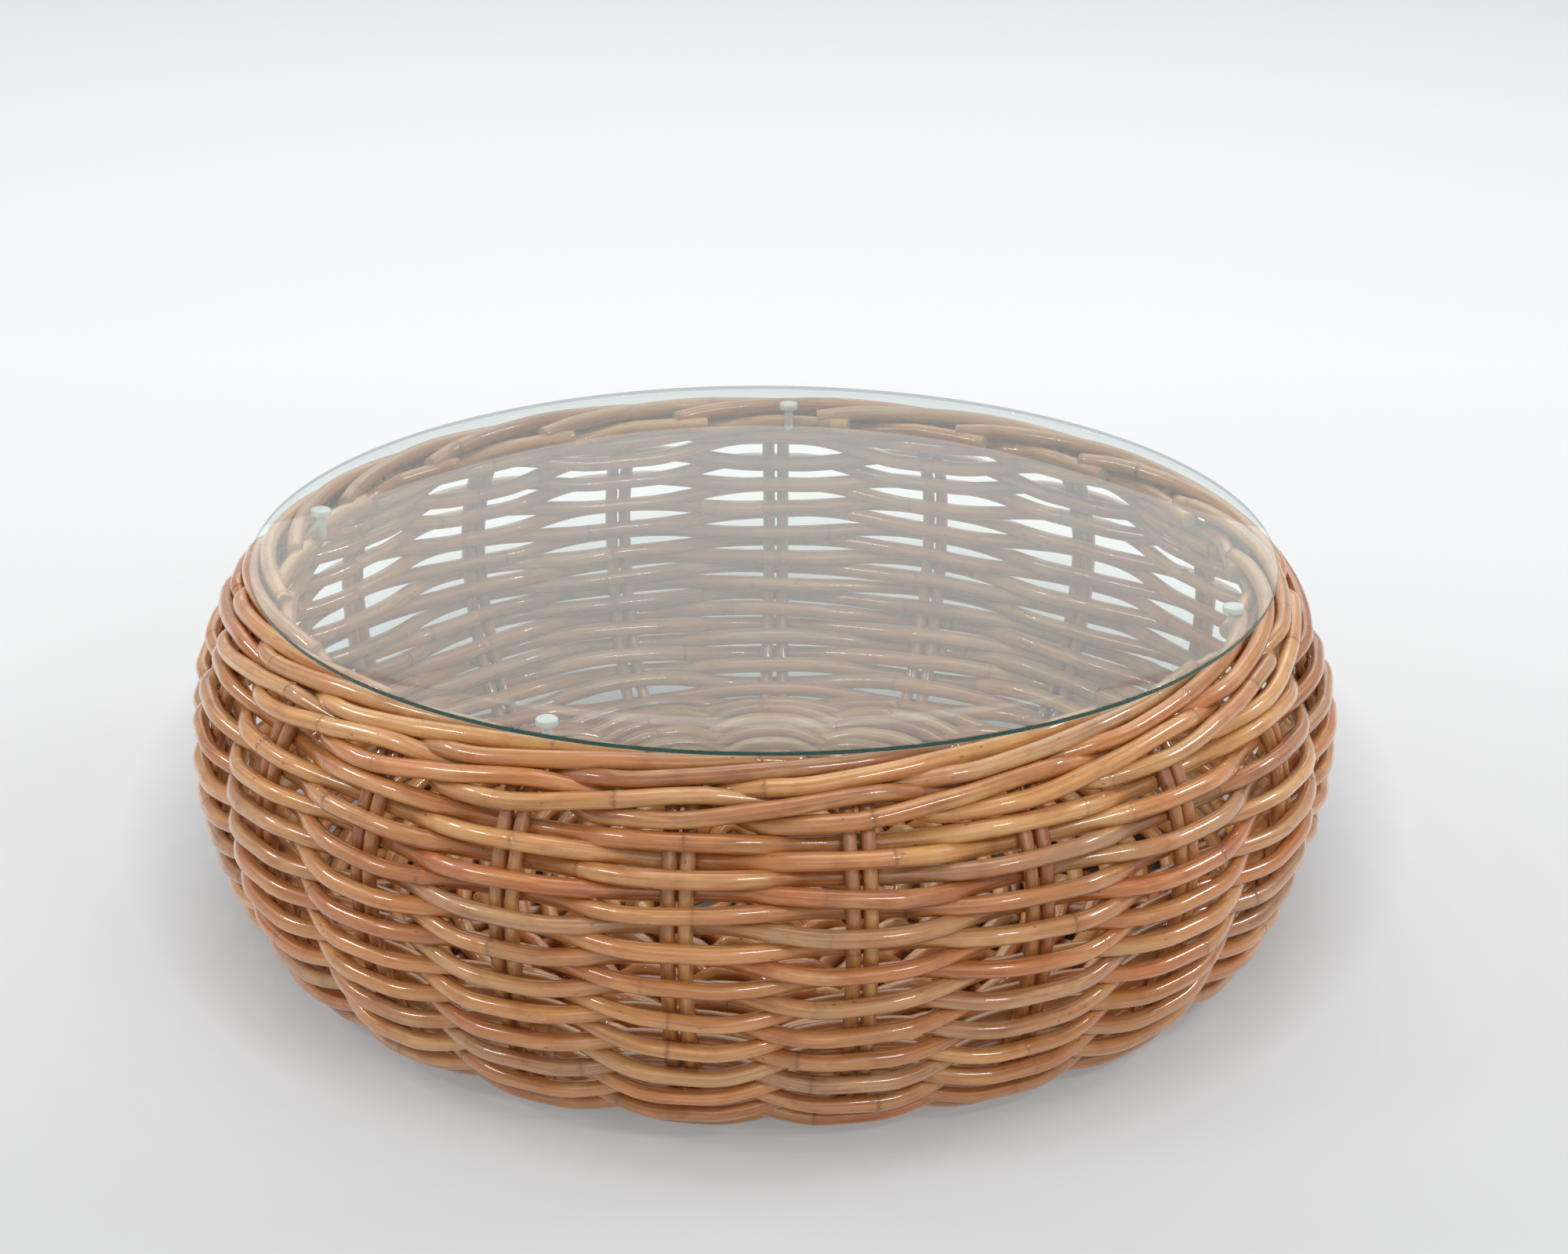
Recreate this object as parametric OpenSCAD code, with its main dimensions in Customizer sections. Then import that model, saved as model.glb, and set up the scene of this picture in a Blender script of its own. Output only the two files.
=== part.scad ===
// Round wicker coffee table: a bulging cane basket that carries a loose round glass top.
// Millimetres, +Z up. The origin is on the floor under the middle of the basket, and -Y is the front.
// The whole weave follows one curved surface, the middle of the basket's thickness. A place on it is given
// by u, counted in stake pairs round the basket, by s, the distance along the wall's outline above the
// widest girth, and by n, the distance outward from the surface.

/* [Basket] */
// Widest diameter, measured over the canes
girth_d = 1000; // [985:5:1015]
// Height of the widest girth above the floor
girth_z = 200; // [197:1:203]
// Radius of the wall's curve above the girth, at the middle of its thickness
upper_r = 160; // [157:1:163]
// Radius of the wall's curve below the girth, at the middle of its thickness
lower_r = 288; // [284:1:292]
// Radius of the bend from the wall into the base, at the middle of its thickness
corner_r = 60; // [57:1:63]

/* [Canes] */
// Diameter of a stake
stake_d = 12; // [11:0.5:12]
// Diameter of a weaver
weaver_d = 13.4; // [12.4:0.2:13.4]
// Diameter of a border cane
border_d = 14; // [13:0.5:14]
// Diameter of a stick of the base
stick_d = 10; // [9:0.5:10]
// Room left between a weaver and the stakes that it passes
weave_gap = 1.1; // [0.9:0.1:1.2]
// Distance from one row of weaving to the next
row_pitch = 13.9; // [13.8:0.1:14]

/* [Glass top] */
// Diameter of the glass
glass_d = 882; // [860:2:900]
// Thickness of the glass
glass_t = 5; // [4:1:8]
// Height of the table, up to the top of the glass
table_h = 345; // [345:1:350]
// Rounding of the glass's edge
glass_edge = 1; // [0.5:0.5:1.5]

/* [Bumpers] */
// Diameter of a bumper's head
head_d = 18; // [14:1:18]
// Thickness of a bumper's head
head_t = 7.5; // [6:0.5:8]
// Diameter of a bumper's stem
stem_d = 9; // [6:0.5:9]
// Length of a bumper's stem, below its head
stem_l = 20; // [14:1:20]

/* [Hidden] */
pair_count = 20;
step_angle = 360 / pair_count;
// The pairs stand a little unevenly round the basket: wider apart at the right than at the left
first_angle = -4.3;
drift = -5.2;
drift_phase = -51.5;

lift = stake_d / 2 + weaver_d / 2 + weave_gap;
girth_r = girth_d / 2 - lift - weaver_d / 2;
base_z = lift + weaver_d / 2;
rad = 180 / PI;

// The corner's arc touches the flat base and the lower arc of the wall
upper_x = girth_r - upper_r;
lower_x = girth_r - lower_r;
corner_drop = girth_z - base_z - corner_r;
corner_x = lower_x + sqrt(pow(lower_r - corner_r, 2) - pow(corner_drop, 2));
corner_angle = -atan2(corner_drop, corner_x - lower_x);
lower_len = -corner_angle / rad * lower_r;
corner_len = (90 + corner_angle) / rad * corner_r;
floor_len = lower_len + corner_len;

// Rows of weaving, from the border down round the corner and in under the base
top_row_s = 79.3;
wall_rows = 22;
base_rows = 21;
// A weaver lies flat over a pair for this share of the way to the next one: more in the base
wall_flat = 1 / 6;
base_flat = 1 / 4;
first_flat_row = 14;
flat_rows = 12;
cane_sides = 6;
base_cane_sides = 4;

stake_top = 125;
stake_lap = 1.5;
thin_d = stake_d - 0.12;
lap_angle = stake_lap / lower_r * rad;
stake_foot_r = 240;
pair_half = 6.7;
splay = 1.6;

// A base stick runs straight through the middle cross and bends out towards the stakes
stick_count = 5;
stick_pitch = 13.6;
cross_half = 36;
stick_bend_r = 62;
stick_level_r = 96;
stick_end_r = 310;
cross_gap = 0.2;

// Each border cane in turn: how far round it is, how high up the wall and how far out
lower_border = [
    [-1.4, 144.7, -7.7], [-1, 142, -7.8], [-0.75, 132.9, -9.8], [-0.12, 119.3, -14.8],
    [0.12, 115.8, -13.5], [0.5, 94.4, 1.4], [0.88, 92.8, 15.2], [1.5, 102.5, 15.6],
    [2.12, 111.9, 15.5], [2.42, 115.9, 3.6]
];
upper_border = [
    [0.6, 119.4, 15.7], [1, 124.3, 15.4], [1.5, 131.8, 13.9], [2, 138, 8.3], [2.42, 144.4, 1.6]
];

// Where the bumpers stand: how far round, counted in stake pairs, and how far from the middle
bumper_front_at = [-1, 403];
bumper_right_at = [4.5, 411];
bumper_back_at = [9.9, 402];
bumper_left_at = [14.2, 407];

function unit(v) = v / norm(v);

// Direction of a place round the basket, in degrees from the front towards the right
function azimuth(u) =
    first_angle + step_angle * u + drift * cos(step_angle * u + drift_phase);

// The surface's outline at s: [distance from the axis, height, tilt of its outward normal]
function outline(s) =
    s > 0 ? arc_point(upper_x, girth_z, upper_r, s / upper_r * rad)
    : s > -lower_len ? arc_point(lower_x, girth_z, lower_r, s / lower_r * rad)
    : s > -floor_len ? arc_point(
        corner_x, base_z + corner_r, corner_r, corner_angle + (s + lower_len) / corner_r * rad
    )
    : [corner_x + s + floor_len, base_z, -90];
function arc_point(x, z, r, angle) = [x + r * cos(angle), z + r * sin(angle), angle];

function place(u, s, n) =
    let (
        line = outline(s),
        r = line.x + n * cos(line.z),
        turn = azimuth(u)
    )
    [r * sin(turn), -r * cos(turn), line.y + n * sin(line.z)];

// Direction along the outline, upwards, at a place
function upward(u, s) =
    let (tilt = outline(s).z, turn = azimuth(u))
    [-sin(tilt) * sin(turn), sin(tilt) * cos(turn), cos(tilt)];

// The corners of a cane's cross-sections, square to its path
function cane_points(path, ups, radius, sides, closed) =
    let (count = len(path))
    [
        for (i = [0 : count - 1])
            let (
                before = closed ? path[(i + count - 1) % count] : path[max(i - 1, 0)],
                after = closed ? path[(i + 1) % count] : path[min(i + 1, count - 1)],
                along = unit(after - before),
                side = unit(cross(along, ups[i])),
                up = cross(side, along)
            )
            for (j = [0 : sides - 1])
                path[i] + radius * (cos(360 * j / sides) * side + sin(360 * j / sides) * up)
    ];

function cane_faces(count, sides, closed, first) = [
    for (i = [0 : count - (closed ? 1 : 2)])
        for (j = [0 : sides - 1])
            [
                first + i * sides + j,
                first + i * sides + (j + 1) % sides,
                first + (i + 1) % count * sides + (j + 1) % sides,
                first + (i + 1) % count * sides + j
            ],
    if (!closed) [for (j = [sides - 1 : -1 : 0]) first + j],
    if (!closed) [for (j = [0 : sides - 1]) first + (count - 1) * sides + j]
];

// Separate canes of the same length of path, each a solid of its own
module canes(paths, ups, diameter, sides, closed) {
    count = len(paths[0]);
    polyhedron(
        points = [
            for (i = [0 : len(paths) - 1])
                each cane_points(paths[i], ups[i], diameter / 2, sides, closed)
        ],
        faces = [
            for (i = [0 : len(paths) - 1])
                each cane_faces(count, sides, closed, i * count * sides)
        ],
        convexity = 10
    );
}

function row_s(row) = top_row_s - row * row_pitch;
function row_flat(row) =
    wall_flat + (base_flat - wall_flat) * min(max((row - first_flat_row) / flat_rows, 0), 1);

// One row passes outside a stake pair and inside the next one, and crosses over between them.
// Rows are counted from the border down, and each starts on the other side from the row above.
function row_keys(row) = [
    for (k = [0 : pair_count - 1])
        for (end = [-row_flat(row), row_flat(row)])
            [k + end, row_s(row), ((k + row) % 2 == 0 ? 1 : -1) * lift]
];

function key_places(keys, turn) = [for (key = keys) place(key.x + turn, key.y, key.z)];
function key_ups(keys, turn) = [for (key = keys) upward(key.x + turn, key.y)];

// Wall rows are numbered from the floor upwards
module wall_weaver(number) {
    keys = row_keys(wall_rows - number);
    color("burlywood") canes([key_places(keys, 0)], [key_ups(keys, 0)], weaver_d, cane_sides, true);
}

module base_weavers() {
    rows = [for (row = [wall_rows : wall_rows + base_rows - 1]) row_keys(row)];
    color("tan") canes(
        [for (keys = rows) key_places(keys, 0)],
        [for (keys = rows) key_ups(keys, 0)],
        weaver_d, base_cane_sides, true
    );
}

module border_canes(keys) {
    turns = [0 : pair_count - 1];
    canes(
        [for (turn = turns) key_places(keys, turn)],
        [for (turn = turns) key_ups(keys, turn)],
        border_d, cane_sides, false
    );
}

module border_upper_canes() {
    color("peru") border_canes(upper_border);
}

module border_lower_canes() {
    color("burlywood") border_canes(lower_border);
}

// One bend of a stake, in the upright plane through it
module stake_arc(x, z, r, from, to, thickness) {
    translate([x, 0, z])
        rotate([90, 0, 0])
            rotate([0, 0, from])
                rotate_extrude(angle = to - from, $fn = 96)
                    translate([r, 0]) circle(d = thickness, $fn = 24);
}

// The stretches lap a little into one another, and every second one is a hair thinner
module stake() {
    translate([stake_foot_r, 0, base_z])
        rotate([0, 90, 0])
            cylinder(d = thin_d, h = corner_x - stake_foot_r + stake_lap, $fn = 24);
    stake_arc(corner_x, base_z + corner_r, corner_r, -90, corner_angle, stake_d);
    stake_arc(lower_x, girth_z, lower_r, corner_angle - lap_angle, lap_angle, thin_d);
    stake_arc(upper_x, girth_z, upper_r, 0, stake_top / upper_r * rad, stake_d);
}

// Two stakes side by side, closest at the girth, spread at the base to take a stick between them
module stake_pair(number) {
    color("sandybrown")
        rotate([0, 0, azimuth(number - 1) - 90])
            for (side = [-1, 1])
                translate([girth_r, side * pair_half, 0])
                    rotate([0, 0, -side * splay])
                        translate([-girth_r, 0, 0]) stake();
}

// One end of a stick: out of the cross, level with its stake pair, and in between the two stakes
function stick_end(level, u) =
    let (turn = azimuth(u))
    [
        for (r = [stick_bend_r, stick_level_r, stick_end_r])
            [r * sin(turn), -r * cos(turn), base_z + (r < stick_level_r ? level / 2 : 0)]
    ];

function reversed(list) = [for (i = [len(list) - 1 : -1 : 0]) list[i]];

// The sticks of one layer lie side by side in the cross, and each ends at two opposite stake pairs
function stick_path(offset, level, first_u) =
    let (
        heading = azimuth(first_u),
        across = [cos(heading), sin(heading), 0] * offset * stick_pitch,
        ahead = [sin(heading), -cos(heading), 0] * cross_half,
        up = [0, 0, base_z + level]
    )
    concat(
        reversed(stick_end(level, first_u + pair_count / 2 - offset)),
        [across - ahead + up, across + ahead + up],
        stick_end(level, first_u + offset)
    );

module base_sticks(first_u, level) {
    reach = (stick_count - 1) / 2;
    paths = [for (offset = [-reach : reach]) stick_path(offset, level, first_u)];
    color("tan") canes(
        paths, [for (path = paths) [for (point = path) [0, 0, 1]]], stick_d, cane_sides, false
    );
}

module base_sticks_lower() {
    base_sticks(0, -stick_d / 2 - cross_gap);
}

module base_sticks_upper() {
    base_sticks(stick_count, stick_d / 2 + cross_gap);
}

// A clear stud: its head holds the glass up, and its stem stands among the border canes
module bumper(at) {
    turn = azimuth(at.x);
    color("whitesmoke")
        translate([at.y * sin(turn), -at.y * cos(turn), table_h - glass_t - head_t]) {
            cylinder(d = head_d, h = head_t, $fn = 48);
            translate([0, 0, -stem_l]) cylinder(d = stem_d, h = stem_l, $fn = 32);
        }
}

module glass_top() {
    r = glass_d / 2;
    color("lightcyan", 0.5)
        translate([0, 0, table_h - glass_t])
            rotate_extrude($fn = 200)
                polygon([
                    [0, 0], [r - glass_edge, 0], [r, glass_edge],
                    [r, glass_t - glass_edge], [r - glass_edge, glass_t], [0, glass_t]
                ]);
}

glass_top();
bumper(bumper_front_at);  // bumper_front
bumper(bumper_right_at);  // bumper_right
bumper(bumper_back_at);  // bumper_back
bumper(bumper_left_at);  // bumper_left
border_upper_canes();
border_lower_canes();
wall_weaver(1);  // wall_weaver_01
wall_weaver(2);  // wall_weaver_02
wall_weaver(3);  // wall_weaver_03
wall_weaver(4);  // wall_weaver_04
wall_weaver(5);  // wall_weaver_05
wall_weaver(6);  // wall_weaver_06
wall_weaver(7);  // wall_weaver_07
wall_weaver(8);  // wall_weaver_08
wall_weaver(9);  // wall_weaver_09
wall_weaver(10);  // wall_weaver_10
wall_weaver(11);  // wall_weaver_11
wall_weaver(12);  // wall_weaver_12
wall_weaver(13);  // wall_weaver_13
wall_weaver(14);  // wall_weaver_14
wall_weaver(15);  // wall_weaver_15
wall_weaver(16);  // wall_weaver_16
wall_weaver(17);  // wall_weaver_17
wall_weaver(18);  // wall_weaver_18
wall_weaver(19);  // wall_weaver_19
wall_weaver(20);  // wall_weaver_20
wall_weaver(21);  // wall_weaver_21
wall_weaver(22);  // wall_weaver_22
stake_pair(1);  // stake_pair_01
stake_pair(2);  // stake_pair_02
stake_pair(3);  // stake_pair_03
stake_pair(4);  // stake_pair_04
stake_pair(5);  // stake_pair_05
stake_pair(6);  // stake_pair_06
stake_pair(7);  // stake_pair_07
stake_pair(8);  // stake_pair_08
stake_pair(9);  // stake_pair_09
stake_pair(10);  // stake_pair_10
stake_pair(11);  // stake_pair_11
stake_pair(12);  // stake_pair_12
stake_pair(13);  // stake_pair_13
stake_pair(14);  // stake_pair_14
stake_pair(15);  // stake_pair_15
stake_pair(16);  // stake_pair_16
stake_pair(17);  // stake_pair_17
stake_pair(18);  // stake_pair_18
stake_pair(19);  // stake_pair_19
stake_pair(20);  // stake_pair_20
base_weavers();
base_sticks_lower();
base_sticks_upper();
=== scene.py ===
"""The looks of a round wicker coffee table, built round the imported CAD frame. Metres, in the frame's axes.

Every cane is swept along the path that the CAD source gives it, with the nodes, tints, cut ends and small
unevenness of real lacquered cane. A place on the weave is u (stake pairs round the basket), s (distance up
the wall's outline from the widest girth) and n (distance outward from the middle of the wall).
"""

import math

import bpy
import numpy as np
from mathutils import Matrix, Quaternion, Vector


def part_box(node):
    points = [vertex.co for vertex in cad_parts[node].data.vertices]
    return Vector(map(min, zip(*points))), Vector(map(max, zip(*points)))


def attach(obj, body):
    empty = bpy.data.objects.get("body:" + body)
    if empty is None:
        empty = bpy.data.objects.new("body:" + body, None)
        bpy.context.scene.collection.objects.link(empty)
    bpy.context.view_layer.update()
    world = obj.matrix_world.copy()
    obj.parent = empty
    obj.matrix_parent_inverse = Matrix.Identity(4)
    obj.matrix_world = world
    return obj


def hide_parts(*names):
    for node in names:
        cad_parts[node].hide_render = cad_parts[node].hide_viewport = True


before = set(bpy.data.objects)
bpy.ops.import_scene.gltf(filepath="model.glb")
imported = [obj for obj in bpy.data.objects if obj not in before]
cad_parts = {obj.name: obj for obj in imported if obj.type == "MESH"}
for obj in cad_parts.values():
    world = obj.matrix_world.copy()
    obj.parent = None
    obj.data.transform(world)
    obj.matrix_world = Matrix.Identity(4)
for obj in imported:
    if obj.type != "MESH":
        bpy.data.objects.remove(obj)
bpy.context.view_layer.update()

MM = 0.001

# ---------------------------------------------------------------- the CAD source's dimensions, in metres

PAIRS = 20
STEP = 2 * math.pi / PAIRS
FIRST_ANGLE = math.radians(-4.3)
DRIFT = math.radians(-5.2)
DRIFT_PHASE = math.radians(-51.5)

GIRTH_D = 1000 * MM
GIRTH_Z = 200 * MM
UPPER_R = 160 * MM
LOWER_R = 288 * MM
CORNER_R = 60 * MM
STAKE_D = 12 * MM
WEAVER_D = 13.4 * MM
STICK_D = 10 * MM
WEAVE_GAP = 1.1 * MM
ROW_PITCH = 13.9 * MM
TOP_ROW_S = 79.3 * MM
WALL_ROWS = 22
BASE_ROWS = 21

LIFT = STAKE_D / 2 + WEAVER_D / 2 + WEAVE_GAP
GIRTH_R = GIRTH_D / 2 - LIFT - WEAVER_D / 2
BASE_Z = LIFT + WEAVER_D / 2
UPPER_X = GIRTH_R - UPPER_R
LOWER_X = GIRTH_R - LOWER_R
CORNER_DROP = GIRTH_Z - BASE_Z - CORNER_R
CORNER_X = LOWER_X + math.sqrt((LOWER_R - CORNER_R) ** 2 - CORNER_DROP**2)
CORNER_ANGLE = -math.atan2(CORNER_DROP, CORNER_X - LOWER_X)
LOWER_LEN = -CORNER_ANGLE * LOWER_R
FLOOR_LEN = LOWER_LEN + (math.pi / 2 + CORNER_ANGLE) * CORNER_R

STAKE_TOP = 125 * MM
STAKE_FOOT_R = 240 * MM
PAIR_HALF = 6.7 * MM
SPLAY = math.radians(1.6)

STICKS = 5
STICK_PITCH = 13.6 * MM
CROSS_HALF = 36 * MM
STICK_BEND_R = 62 * MM
STICK_LEVEL_R = 96 * MM
STICK_END_R = 310 * MM
CROSS_GAP = 0.2 * MM
CORNER_CUTS = 4

# A border cane's places: how far round it is, how high up the wall and how far out (s and n in mm). Each
# stands a little freer inside at its start than the plain one, and runs on hidden behind its neighbours
LOWER_BORDER = [
    [-1.52, 148.5, -13.5], [-1.2, 144.5, -11.2], [-0.95, 140, -9.4], [-0.75, 132.9, -9.8],
    [-0.12, 119.3, -14.8], [0.12, 115.8, -13.5], [0.5, 94.4, 1.4], [0.88, 92.8, 15.2],
    [1.5, 102.5, 15.6], [2.12, 111.9, 15.5], [2.3, 112.3, 9], [2.62, 111.5, -5],
]
UPPER_BORDER = [
    [0.18, 121.5, -1], [0.36, 120.3, 8.5], [0.6, 119.4, 15.7], [1, 124.3, 15.4], [1.5, 131.8, 13.9],
    [2, 138, 8.3], [2.42, 144.4, 1.6], [2.7, 147.5, -6],
]

# ------------------------------------------------------------ how the shown canes differ from the plain ones

SEED = 41
# The weavers press on the stakes, so they lie closer in than the plain ones, and they vary in thickness.
# None reaches further out than SHOWN_REACH: a cane is at most THICKEST times its plain radius
SHOWN_LIFT = 12.2 * MM
SHOWN_REACH = 20.2 * MM
THICKEST = 1.12
# Round the bottom corner, a few rows to each side of this one, they lie flatter still and further out
CORNER_ROW = 19.7
CORNER_ROWS = 3.5
CORNER_PRESS = 5.0 * MM
CORNER_SHIFT = 3.4 * MM
SHOWN_WEAVER_D = (13.2 * MM, 15.3 * MM)
SHOWN_BORDER_D = 15.0 * MM
# The share of the way to the next pair for which a weaver lies flat: less from some rows on
WALL_FLAT = 0.13
BASE_FLAT = 0.09
FIRST_FLAT_ROW = 14
FLAT_ROWS = 12
FLAT_VARIES = (0.85, 1.15)
# The bends of a row: waves round the basket, their slant from row to row and their phase. Each row also
# strays a little on its own
SWAY = [(3, 0.25, 0.9), (5, -0.4, 2.1), (8, 0.3, 0.4), (13, 0.5, 4.0)]
SWAY_SIZE = 2.8 * MM
SWAY_FADE_ROWS = 3
ROW_STRAY = 1.1 * MM
# How long the canes of a row are, how far past the middle of a pair they meet, and the gap between them
CANE_LENGTH = 1.0
SHORTEST_CANE = 4
JOIN_U = 0.08
JOIN_GAP = 0.35 * MM
# How fine the paths are that the canes are swept along
POINTS_PER_STEP = 48
BORDER_POINTS = 160
STAKE_POINTS = 90
FOOT_POINTS = 12
# How far a border cane strays up and down and in and out, in mm
BORDER_STRAY_S = 0.9
BORDER_STRAY_N = 0.3
# How much thinner than its full size a stake or a border cane may be
STAKE_THINNING = 0.03
BORDER_THINNING = 0.08
# Each kind of cane's place between dark and pale, and its redness: the middle and the spread
WEAVER_LOOK = ((0.56, 0.15), (0.37, 0.26))
BORDER_LOOK = ((0.6, 0.15), (0.37, 0.24))
STAKE_LOOK = ((0.5, 0.12), (0.45, 0.15))
STICK_LOOK = ((0.5, 0.12), (0.4, 0.15))


def azimuth(u):
    """Direction of a place round the basket, in radians from the front towards the right."""
    turn = STEP * np.asarray(u, float)
    return FIRST_ANGLE + turn + DRIFT * np.cos(turn + DRIFT_PHASE)


def outline(s):
    """Distance from the axis, height and tilt of the outward direction, at s along the wall's outline."""
    s = np.asarray(s, float)
    stretch = [s > 0, s > -LOWER_LEN, s > -FLOOR_LEN]
    tilt = np.select(
        stretch,
        [s / UPPER_R, s / LOWER_R, CORNER_ANGLE + (s + LOWER_LEN) / CORNER_R],
        -math.pi / 2,
    )
    radius = np.select(stretch, [UPPER_R, LOWER_R, CORNER_R], 0)
    x = np.select(stretch, [UPPER_X, LOWER_X, CORNER_X], CORNER_X + s + FLOOR_LEN)
    z = np.select(stretch, [GIRTH_Z, GIRTH_Z, BASE_Z + CORNER_R], BASE_Z)
    return x + radius * np.cos(tilt), z + radius * np.sin(tilt), tilt


def turned(r, z, angle):
    """Points at distance r from the axis, height z and direction angle."""
    r, z, angle = np.broadcast_arrays(r, z, angle)
    return np.stack([r * np.sin(angle), -r * np.cos(angle), z], axis=-1)


def place(u, s, n):
    """Points of the weave, and the outward directions there."""
    r, z, tilt = outline(s)
    angle = azimuth(u)
    return (
        turned(r + n * np.cos(tilt), z + n * np.sin(tilt), angle),
        turned(np.cos(tilt), np.sin(tilt), angle),
    )


def unit(v):
    return v / np.linalg.norm(v, axis=-1, keepdims=True)


def wander(at, rng, wavelength):
    """A smooth random line through the distances `at`, mostly between -1 and 1."""
    total = np.zeros_like(at)
    for share in (1.0, 0.55, 0.3):
        phase = rng.uniform(0, 2 * math.pi)
        total += share * np.sin(2 * math.pi * at / (wavelength * share) + phase)
    return total / 1.85


def smooth_between(keys, u):
    """The keys' second and third values at u, on a curve that never swings past the keys."""
    keys = np.array(keys, float)
    x = keys[:, 0]
    width = np.diff(x)
    spot = np.clip(np.searchsorted(x, u, side="right") - 1, 0, len(x) - 2)
    t = (u - x[spot]) / width[spot]
    found = []
    for y in (keys[:, 1], keys[:, 2]):
        slope = np.diff(y) / width
        bend = np.zeros_like(y)
        same = slope[:-1] * slope[1:] > 0
        bend[1:-1][same] = 2 * slope[:-1][same] * slope[1:][same] / (slope[:-1] + slope[1:])[same]
        bend[0], bend[-1] = slope[0], slope[-1]
        found.append(
            y[spot] * (1 + 2 * t) * (1 - t) ** 2
            + y[spot + 1] * t * t * (3 - 2 * t)
            + width[spot] * (bend[spot] * t * (1 - t) ** 2 - bend[spot + 1] * t * t * (1 - t))
        )
    return found


# ---------------------------------------------------------------- one cane

SIDES = 12
BORDER_SIDES = 14
SAMPLE_STEP = 8 * MM
CLOSEST_RINGS = 0.2 * MM
MARKS = ("tone", "blush", "knot", "band", "cut")
NODE_OFFSETS = np.array([-14, -8, -4, -1.9, -0.8, 0, 0.8, 1.9, 4, 8, 14]) * MM
NODE_SPACING = (0.16, 0.38)
# As shares of the cane's radius: its slow unevenness, and the ridge and the groove of a node
UNEVENNESS = 0.025
RIDGE = 0.065
GROOVE = 0.04
OVALNESS = 0.03
# How far a node's marks fade out along the cane: the ridge, the groove, the dark ring and the stain beside it
RIDGE_FADE = 4 * MM
GROOVE_FADE = 1.2 * MM
RING_FADE = 2 * MM
STAIN_FADE = 7 * MM
STAIN_AT = 2 * MM
# The bevel's width, and how much it rises for its width
BEVEL = 0.7 * MM
BEVEL_SLOPE = 0.7
# Each cane takes its grain from its own place, up to this far on
GRAIN_REACH = 50
# How far the tone and the blush change from one node to the next and along the cane
TONE_CHANGE = 0.07
BLUSH_CHANGE = 0.12


def node_places(length, rng):
    """Where a cane's nodes are along it, unevenly spaced."""
    places = []
    at = rng.uniform(0, NODE_SPACING[1])
    while at < length:
        places.append(at)
        at += rng.uniform(*NODE_SPACING)
    return np.array(places)


def hump(distance, fade):
    """1 at a place, and less and less on each side of it."""
    return np.exp(-((distance / fade) ** 2))


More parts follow.
